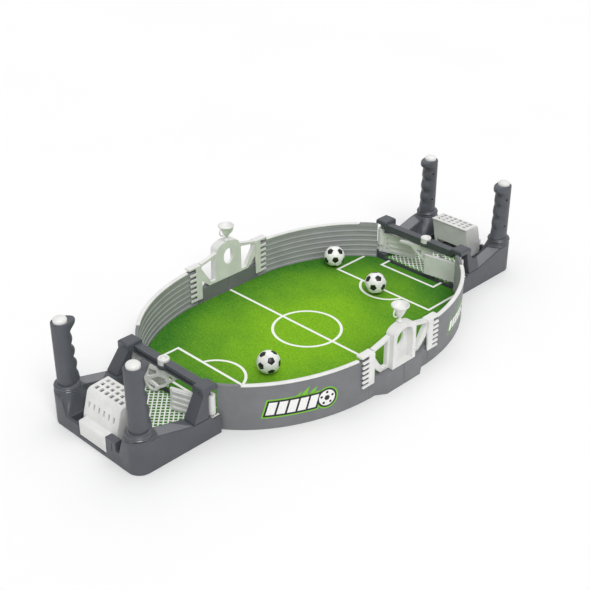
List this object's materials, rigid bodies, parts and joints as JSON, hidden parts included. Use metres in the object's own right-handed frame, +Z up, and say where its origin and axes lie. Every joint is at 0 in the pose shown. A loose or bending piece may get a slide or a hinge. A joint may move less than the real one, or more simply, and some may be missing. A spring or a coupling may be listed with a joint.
{
  "type": "tabletop foosball game",
  "caption": "Oval walled tabletop football game with thumb-button pistol grips driving hinged flippers, turning keepers and loose balls",
  "frame": {"origin": "centre of the bounding box's bottom face, on the surface the game stands on", "axes": "X runs along the pitch from the left console to the right one, Y across it towards the back, Z is up"},
  "size_m": [0.58, 0.278, 0.1157],
  "materials": {
    "console_grey": "dark blue-grey satin moulded plastic",
    "wall_grey": "mid grey satin moulded plastic",
    "white_trim": "white moulded plastic with a soft gloss",
    "green_print": "printed green card under a matt film",
    "spring_steel": "plain steel",
    "ball_white": "white plastic with black five-sided patches"
  },
  "bodies": {
    "table": {"right_console": "console_grey", "right_goal_frame": "console_grey", "right_catcher_hood": "white_trim", "right_net_floor": "green_print", "right_back_grip_plain_half": "console_grey", "right_back_grip_screw_half": "console_grey", "right_back_hinge_pin": "spring_steel", "right_back_return_spring": "spring_steel", "right_front_grip_plain_half": "console_grey", "right_front_grip_screw_half": "console_grey", "right_front_hinge_pin": "spring_steel", "right_front_return_spring": "spring_steel", "left_console": "console_grey", "left_goal_frame": "console_grey", "left_catcher_hood": "white_trim", "left_net_floor": "green_print", "left_front_grip_plain_half": "console_grey", "left_front_grip_screw_half": "console_grey", "left_front_hinge_pin": "spring_steel", "left_front_return_spring": "spring_steel", "left_back_grip_plain_half": "console_grey", "left_back_grip_screw_half": "console_grey", "left_back_hinge_pin": "spring_steel", "left_back_return_spring": "spring_steel", "right_back_wall": "wall_grey", "right_back_rim_strip": "white_trim", "left_back_wall": "wall_grey", "left_back_rim_strip": "white_trim", "left_front_wall": "wall_grey", "left_front_rim_strip": "white_trim", "right_front_wall": "wall_grey", "right_front_rim_strip": "white_trim", "back_side_frame": "white_trim", "back_trophy_cup": "white_trim", "front_side_frame": "white_trim", "front_trophy_cup": "white_trim", "right_base_half": "wall_grey", "left_base_half": "wall_grey", "turf_sheet": "green_print"},
    "right_keeper_body": {"right_keeper": "white_trim", "right_keeper_cap": "white_trim"},
    "right_back_button_plunger_body": {"right_back_button_plunger": "white_trim"},
    "right_back_drive_link_body": {"right_back_drive_link": "white_trim"},
    "right_back_flipper_body": {"right_back_flipper": "white_trim"},
    "right_front_button_plunger_body": {"right_front_button_plunger": "white_trim"},
    "right_front_drive_link_body": {"right_front_drive_link": "white_trim"},
    "right_front_flipper_body": {"right_front_flipper": "white_trim"},
    "left_keeper_body": {"left_keeper": "white_trim", "left_keeper_cap": "white_trim"},
    "left_front_button_plunger_body": {"left_front_button_plunger": "white_trim"},
    "left_front_drive_link_body": {"left_front_drive_link": "white_trim"},
    "left_front_flipper_body": {"left_front_flipper": "white_trim"},
    "left_back_button_plunger_body": {"left_back_button_plunger": "white_trim"},
    "left_back_drive_link_body": {"left_back_drive_link": "white_trim"},
    "left_back_flipper_body": {"left_back_flipper": "white_trim"},
    "ball_one_body": {"ball_one": "ball_white"},
    "ball_two_body": {"ball_two": "ball_white"},
    "ball_three_body": {"ball_three": "ball_white"}
  },
  "joints": [
    {"name": "right_keeper_turn", "type": "hinge", "parent": "table", "child": "right_keeper_body", "pos_m": [0.194, -0.008, 0.045], "axis": [0, 0, 1], "range_deg": [-8, 25]},
    {"name": "right_back_button_press", "type": "slide", "parent": "table", "child": "right_back_button_plunger_body", "axis": [0, 0, -1], "range_m": [0, 0.004], "stiffness_N_per_m": 250, "springref_m": -0.004, "deforming": ["right_back_return_spring"]},
    {"name": "right_back_link_slide", "type": "slide", "parent": "table", "child": "right_back_drive_link_body", "axis": [1, 0, 0], "range_m": [0, 0.004]},
    {"name": "right_back_flipper_swing", "type": "hinge", "parent": "table", "child": "right_back_flipper_body", "pos_m": [0.193, 0.06, 0.025], "axis": [0, 0, 1], "range_deg": [-50, 0]},
    {"name": "right_front_button_press", "type": "slide", "parent": "table", "child": "right_front_button_plunger_body", "axis": [0, 0, -1], "range_m": [0, 0.004], "stiffness_N_per_m": 250, "springref_m": -0.004, "deforming": ["right_front_return_spring"]},
    {"name": "right_front_link_slide", "type": "slide", "parent": "table", "child": "right_front_drive_link_body", "axis": [1, 0, 0], "range_m": [0, 0.004]},
    {"name": "right_front_flipper_swing", "type": "hinge", "parent": "table", "child": "right_front_flipper_body", "pos_m": [0.193, -0.06, 0.025], "axis": [0, 0, 1], "range_deg": [0, 50]},
    {"name": "left_keeper_turn", "type": "hinge", "parent": "table", "child": "left_keeper_body", "pos_m": [-0.194, 0.008, 0.045], "axis": [0, 0, 1], "range_deg": [-8, 25]},
    {"name": "left_front_button_press", "type": "slide", "parent": "table", "child": "left_front_button_plunger_body", "axis": [0, 0, -1], "range_m": [0, 0.004], "stiffness_N_per_m": 250, "springref_m": -0.004, "deforming": ["left_front_return_spring"]},
    {"name": "left_front_link_slide", "type": "slide", "parent": "table", "child": "left_front_drive_link_body", "axis": [-1, 0, 0], "range_m": [0, 0.004]},
    {"name": "left_front_flipper_swing", "type": "hinge", "parent": "table", "child": "left_front_flipper_body", "pos_m": [-0.193, -0.06, 0.025], "axis": [0, 0, 1], "range_deg": [-50, 0]},
    {"name": "left_back_button_press", "type": "slide", "parent": "table", "child": "left_back_button_plunger_body", "axis": [0, 0, -1], "range_m": [0, 0.004], "stiffness_N_per_m": 250, "springref_m": -0.004, "deforming": ["left_back_return_spring"]},
    {"name": "left_back_link_slide", "type": "slide", "parent": "table", "child": "left_back_drive_link_body", "axis": [-1, 0, 0], "range_m": [0, 0.004]},
    {"name": "left_back_flipper_swing", "type": "hinge", "parent": "table", "child": "left_back_flipper_body", "pos_m": [-0.193, 0.06, 0.025], "axis": [0, 0, 1], "range_deg": [0, 50]},
    {"name": "ball_one_roll", "type": "slide", "parent": "table", "child": "ball_one_body", "axis": [1, 0, 0], "range_m": [-0.045, 0.2]},
    {"name": "ball_two_roll", "type": "slide", "parent": "table", "child": "ball_two_body", "axis": [1, 0, 0], "range_m": [-0.22, 0.02]},
    {"name": "ball_three_roll", "type": "slide", "parent": "table", "child": "ball_three_body", "axis": [1, 0, 0], "range_m": [-0.24, 0.01]}
  ],
  "couplings": [
    {"joint": "right_back_link_slide", "follows": "right_back_button_press", "ratio": 1},
    {"joint": "right_back_flipper_swing", "follows": "right_back_button_press", "rad_per_m": -215.09},
    {"joint": "right_front_link_slide", "follows": "right_front_button_press", "ratio": 1},
    {"joint": "right_front_flipper_swing", "follows": "right_front_button_press", "rad_per_m": 215.09},
    {"joint": "left_front_link_slide", "follows": "left_front_button_press", "ratio": 1},
    {"joint": "left_front_flipper_swing", "follows": "left_front_button_press", "rad_per_m": -215.09},
    {"joint": "left_back_link_slide", "follows": "left_back_button_press", "ratio": 1},
    {"joint": "left_back_flipper_swing", "follows": "left_back_button_press", "rad_per_m": 215.09}
  ]
}
